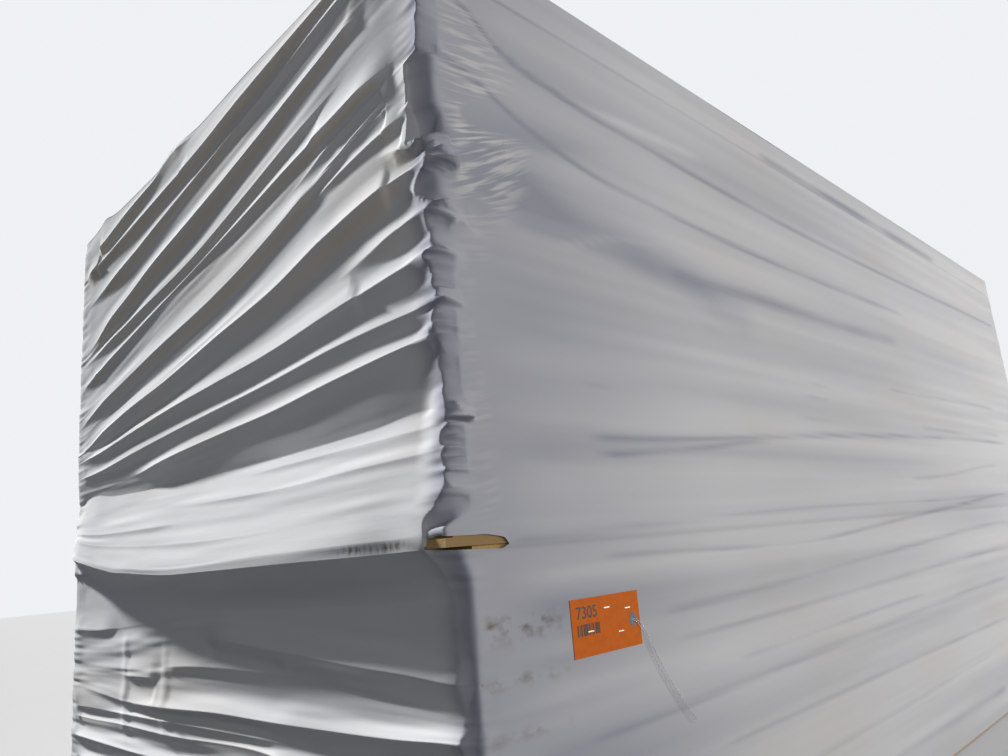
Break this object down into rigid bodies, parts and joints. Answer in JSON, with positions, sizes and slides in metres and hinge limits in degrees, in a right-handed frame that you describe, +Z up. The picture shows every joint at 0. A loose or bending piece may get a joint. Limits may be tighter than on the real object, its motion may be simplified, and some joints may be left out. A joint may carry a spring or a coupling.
{
  "type": "wrapped insulation board bundle",
  "caption": "White film-wrapped bundle of rigid polyiso foam insulation boards, with one thin sheet showing at a torn corner and an orange card tag stapled to its long side.",
  "frame": {"origin": "middle of the stack's underside, on the floor", "axes": "X along the boards' 8 ft length, Y across their 4 ft width, Z up"},
  "size_m": [2.4946, 1.2292, 1.2397],
  "materials": {
    "foam": "rigid foam, fine closed cells",
    "film": "white shrunk film, soft sheen, folded and wrinkled",
    "tag": "matte dyed card",
    "ring": "matte pressed fibre",
    "staple": "bright flat wire",
    "wire": "dull drawn wire"
  },
  "bodies": {
    "root": {"boards_below": "foam", "boards_above": "foam", "projecting_sheet": "foam", "shrink_film": "film", "tag_card": "tag", "tag_ring": "ring", "staples": "staple", "tag_wire_upper": "wire", "tag_wire_lower": "wire"}
  },
  "joints": []
}
